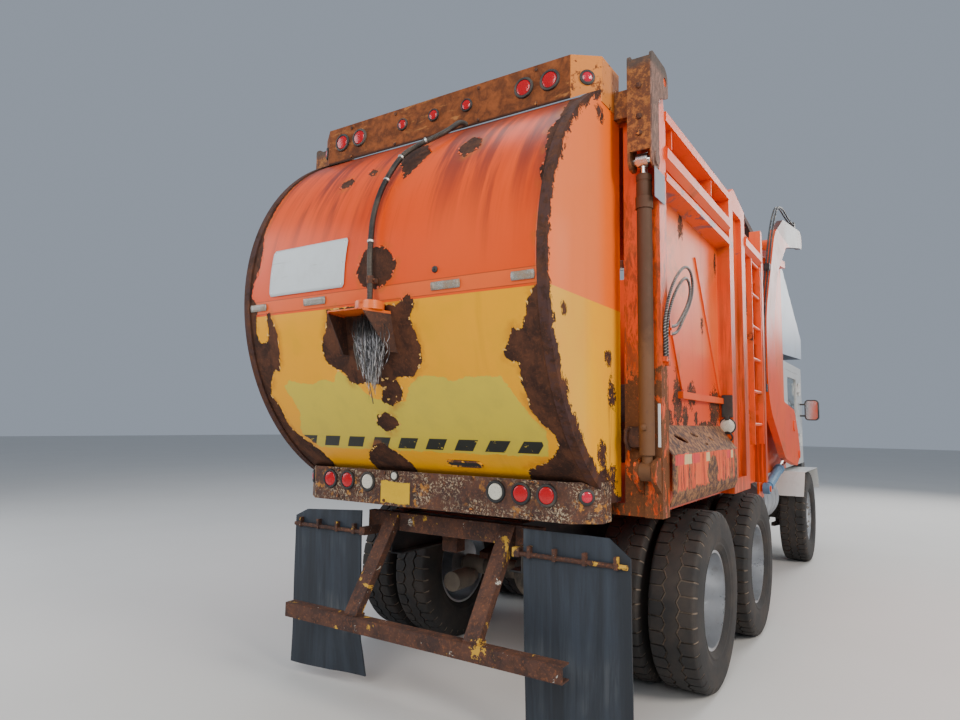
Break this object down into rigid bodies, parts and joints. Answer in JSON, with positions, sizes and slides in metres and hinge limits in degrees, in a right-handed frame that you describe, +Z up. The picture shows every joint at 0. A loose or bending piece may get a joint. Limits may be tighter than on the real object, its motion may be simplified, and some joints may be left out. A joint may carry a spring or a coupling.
{
  "type": "garbage truck",
  "caption": "Front-loading garbage truck with a low cab, bowed lift arms, open hopper, packer body and a bulging top-hinged tailgate.",
  "frame": {"origin": "centre of the footprint on the ground, under the middle of the bounding box", "axes": "+X forward, +Y to the truck's left, +Z up"},
  "size_m": [7.82, 2.4414, 4.0787],
  "materials": {
    "frame_paint": "satin, dirty",
    "cast_metal": "rough",
    "axle_metal": "rough, dirty",
    "spring_steel": "rusty",
    "orange_paint": "faded, rusting",
    "gate_paint": "orange over yellow, rusting",
    "pale_paint": "faded",
    "cab_paint": "gloss, dusty",
    "worn_steel": "rusty",
    "glass": "clear",
    "hood_steel": "rusty",
    "guard_steel": "rusty, patches of old paint",
    "wire_rubber": "ribbed, dusty",
    "seat_cloth": "woven",
    "dark_plastic": "matte",
    "grey_metal": "dull",
    "flap_rubber": "matte",
    "bar_paint": "rusted through",
    "red_lens": "moulded lens",
    "clear_lens": "moulded lens",
    "chrome": "polished",
    "blue_paint": "worn",
    "tyre": "dusty rubber",
    "rim_metal": "dull aluminium"
  },
  "bodies": {
    "truck": {"chassis_frame": "frame_paint", "engine_block": "cast_metal", "rear_axles": "axle_metal", "front_axle": "axle_metal", "suspension_springs": "spring_steel", "body_shell": "orange_paint", "body_ribs": "orange_paint", "hopper_shell": "orange_paint", "canopy": "pale_paint", "cab_shell": "cab_paint", "cab_glass": "glass", "seats": "seat_cloth", "dashboard": "dark_plastic", "steering_wheel": "dark_plastic", "front_bumper": "frame_paint", "mirrors": "dark_plastic", "fuel_tank": "grey_metal", "air_tanks": "frame_paint", "ladder": "orange_paint", "underride_guard": "guard_steel", "mud_flaps": "flap_rubber", "headlights": "clear_lens", "side_sills": "orange_paint", "body_hoses": "wire_rubber"},
    "tailgate": {"tailgate_shell": "gate_paint", "tailgate_light_bar": "bar_paint", "hinge_arms": "bar_paint", "camera_hood": "hood_steel", "lower_light_bar": "bar_paint", "red_lamps": "red_lens", "clear_lamps": "clear_lens", "tailgate_wiring": "wire_rubber"},
    "tailgate_barrels": {"tailgate_barrels": "orange_paint"},
    "tailgate_rods": {"tailgate_rods": "chrome"},
    "lift_arms": {"arm_left": "orange_paint", "arm_right": "orange_paint", "arm_cross_tube": "orange_paint", "arm_hoses": "wire_rubber"},
    "arm_barrels": {"arm_barrels": "blue_paint"},
    "arm_rods": {"arm_rods": "chrome"},
    "forks": {"forks": "worn_steel"},
    "packer": {"packer_panel": "worn_steel"},
    "door_left": {"door_left": "cab_paint", "door_glass_left": "glass"},
    "door_right": {"door_right": "cab_paint", "door_glass_right": "glass"},
    "knuckle_left": {"knuckle_left": "axle_metal"},
    "knuckle_right": {"knuckle_right": "axle_metal"},
    "wheel_front_left": {"front_left_tyre": "tyre", "front_left_rim": "rim_metal"},
    "wheel_front_right": {"front_right_tyre": "tyre", "front_right_rim": "rim_metal"},
    "wheels_rear_left": {"rear_left_tyres": "tyre", "rear_left_rims": "rim_metal"},
    "wheels_rear_right": {"rear_right_tyres": "tyre", "rear_right_rims": "rim_metal"},
    "wheels_mid_left": {"mid_left_tyres": "tyre", "mid_left_rims": "rim_metal"},
    "wheels_mid_right": {"mid_right_tyres": "tyre", "mid_right_rims": "rim_metal"}
  },
  "joints": [
    {"name": "spin_rear_left", "type": "hinge", "parent": "truck", "child": "wheels_rear_left", "pos_m": [-1.95, 0.92, 0.53], "axis": [0, 1, 0], "continuous": true},
    {"name": "spin_rear_right", "type": "hinge", "parent": "truck", "child": "wheels_rear_right", "pos_m": [-1.95, -0.92, 0.53], "axis": [0, 1, 0], "continuous": true},
    {"name": "spin_mid_left", "type": "hinge", "parent": "truck", "child": "wheels_mid_left", "pos_m": [-0.63, 0.92, 0.53], "axis": [0, 1, 0], "continuous": true},
    {"name": "spin_mid_right", "type": "hinge", "parent": "truck", "child": "wheels_mid_right", "pos_m": [-0.63, -0.92, 0.53], "axis": [0, 1, 0], "continuous": true},
    {"name": "steer_left", "type": "hinge", "parent": "truck", "child": "knuckle_left", "pos_m": [2.77, 0.82, 0.53], "axis": [0, 0, 1], "range_deg": [-32, 32]},
    {"name": "spin_front_left", "type": "hinge", "parent": "knuckle_left", "child": "wheel_front_left", "pos_m": [2.77, 1.03, 0.53], "axis": [0, 1, 0], "continuous": true},
    {"name": "steer_right", "type": "hinge", "parent": "truck", "child": "knuckle_right", "pos_m": [2.77, -0.82, 0.53], "axis": [0, 0, 1], "range_deg": [-32, 32]},
    {"name": "spin_front_right", "type": "hinge", "parent": "knuckle_right", "child": "wheel_front_right", "pos_m": [2.77, -1.03, 0.53], "axis": [0, 1, 0], "continuous": true},
    {"name": "tailgate_lift", "type": "hinge", "parent": "truck", "child": "tailgate", "pos_m": [-2.85, 0, 3.4], "axis": [0, 1, 0], "range_deg": [0, 80]},
    {"name": "tailgate_barrel_tip", "type": "hinge", "parent": "truck", "child": "tailgate_barrels", "pos_m": [-3, 0, 1.35], "axis": [0, -1, 0], "range_deg": [0, 8.87]},
    {"name": "tailgate_rod_slide", "type": "slide", "parent": "tailgate_barrels", "child": "tailgate_rods", "axis": [-0.0063, 0, 1], "range_m": [0, 0.57797]},
    {"name": "arm_lift", "type": "hinge", "parent": "truck", "child": "lift_arms", "pos_m": [1.67, 0, 1.6], "axis": [0, -1, 0], "range_deg": [-85, 0]},
    {"name": "arm_barrel_tip", "type": "hinge", "parent": "truck", "child": "arm_barrels", "pos_m": [0.62, 0, 1], "axis": [0, -1, 0], "range_deg": [0, 6.94]},
    {"name": "arm_rod_slide", "type": "slide", "parent": "arm_barrels", "child": "arm_rods", "axis": [0.978, 0, 0.2085], "range_m": [-0.57823, 0]},
    {"name": "fork_tilt", "type": "hinge", "parent": "lift_arms", "child": "forks", "pos_m": [2.67, 0, 3.885], "axis": [0, -1, 0], "range_deg": [-86, 0]},
    {"name": "packer_slide", "type": "slide", "parent": "truck", "child": "packer", "axis": [-1, 0, 0], "range_m": [0, 2.2]},
    {"name": "door_left_hinge", "type": "hinge", "parent": "truck", "child": "door_left", "pos_m": [3.347, 1.007, 1.75], "axis": [0, 0, -1], "range_deg": [0, 70]},
    {"name": "door_right_hinge", "type": "hinge", "parent": "truck", "child": "door_right", "pos_m": [3.347, -1.007, 1.75], "axis": [0, 0, 1], "range_deg": [0, 70]}
  ],
  "couplings": [
    {"joint": "steer_right", "follows": "steer_left", "ratio": 1},
    {"joint": "tailgate_barrel_tip", "follows": "tailgate_lift", "ratio": 0.11089},
    {"joint": "tailgate_rod_slide", "follows": "tailgate_lift", "m_per_rad": 0.41393},
    {"joint": "arm_barrel_tip", "follows": "arm_lift", "ratio": -0.08163},
    {"joint": "arm_rod_slide", "follows": "arm_lift", "m_per_rad": 0.38976}
  ]
}
